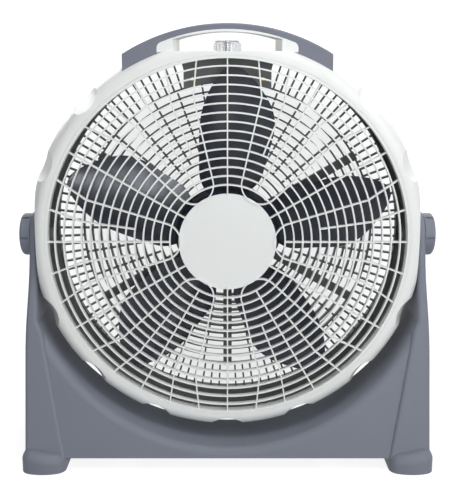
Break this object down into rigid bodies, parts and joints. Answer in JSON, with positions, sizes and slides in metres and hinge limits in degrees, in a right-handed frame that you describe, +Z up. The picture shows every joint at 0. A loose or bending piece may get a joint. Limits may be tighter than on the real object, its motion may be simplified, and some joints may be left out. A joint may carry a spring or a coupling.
{
  "type": "floor fan",
  "caption": "Round-drum floor fan with a looped-spoke front grille and leaf-shaped blades, tilting between the arms of a U-shaped stand, with a carrying handle and a speed knob on top.",
  "frame": {"origin": "on the floor, midway between the feet and straight below the pivot axis", "axes": "+X to the right seen from the front, +Y to the back, +Z up; the air leaves along -Y"},
  "size_m": [0.5954, 0.226, 0.6207],
  "materials": {
    "white_plastic": "satin moulded white",
    "grey_plastic": "fine texture blue-grey",
    "dark_plastic": "dark grey moulding",
    "navy_plastic": "semi-gloss dark navy",
    "clear_plastic": "clear",
    "motor_shell": "dark paint",
    "core_steel": "laminated",
    "copper_wire": "varnished copper",
    "bearing_bronze": "sintered bronze",
    "brass_screws": "brass plated",
    "steel": "zinc plated",
    "rubber": "matt black"
  },
  "bodies": {
    "stand": {"stand_body": "grey_plastic", "left_foot": "grey_plastic", "right_foot": "grey_plastic", "foot_pads": "rubber", "foot_screws": "steel", "pivot_bushes": "bearing_bronze"},
    "drum": {"front_grille": "white_plastic", "front_bezel": "white_plastic", "handle_cover": "grey_plastic", "drum_housing": "dark_plastic", "rear_grille": "dark_plastic", "control_box": "dark_plastic", "control_box_screws": "brass_screws", "rotary_switch": "dark_plastic", "capacitor": "dark_plastic", "cord_gland": "dark_plastic", "motor_front_cover": "motor_shell", "motor_rear_cover": "motor_shell", "stator_core": "core_steel", "stator_windings": "copper_wire", "front_bearing": "bearing_bronze", "rear_bearing": "bearing_bronze", "motor_screws": "steel", "bezel_screws": "steel", "rear_grille_screws": "steel", "pivot_inserts": "bearing_bronze", "friction_washers": "rubber"},
    "rotor": {"rotor_shaft": "steel", "rotor_core": "core_steel", "fan_blade": "navy_plastic", "blade_nut": "navy_plastic"},
    "speed_control": {"speed_knob": "clear_plastic", "switch_spindle": "steel"},
    "left_clamp": {"left_tilt_knob": "grey_plastic", "left_tilt_bolt": "steel"},
    "right_clamp": {"right_tilt_knob": "grey_plastic", "right_tilt_bolt": "steel"}
  },
  "joints": [
    {"name": "drum_tilt", "type": "hinge", "parent": "stand", "child": "drum", "pos_m": [0, 0, 0.325], "axis": [-1, 0, 0], "range_deg": [-30, 90]},
    {"name": "rotor_spin", "type": "hinge", "parent": "drum", "child": "rotor", "pos_m": [0, 0, 0.325], "axis": [0, -1, 0], "continuous": true},
    {"name": "speed_turn", "type": "hinge", "parent": "drum", "child": "speed_control", "pos_m": [0, 0.018, 0.59], "axis": [0, 0, -1], "range_deg": [0, 135]},
    {"name": "left_clamp_turn", "type": "hinge", "parent": "drum", "child": "left_clamp", "pos_m": [-0.295, 0, 0.325], "axis": [-1, 0, 0], "range_deg": [0, 180]},
    {"name": "right_clamp_turn", "type": "hinge", "parent": "drum", "child": "right_clamp", "pos_m": [0.295, 0, 0.325], "axis": [1, 0, 0], "range_deg": [0, 180]}
  ]
}
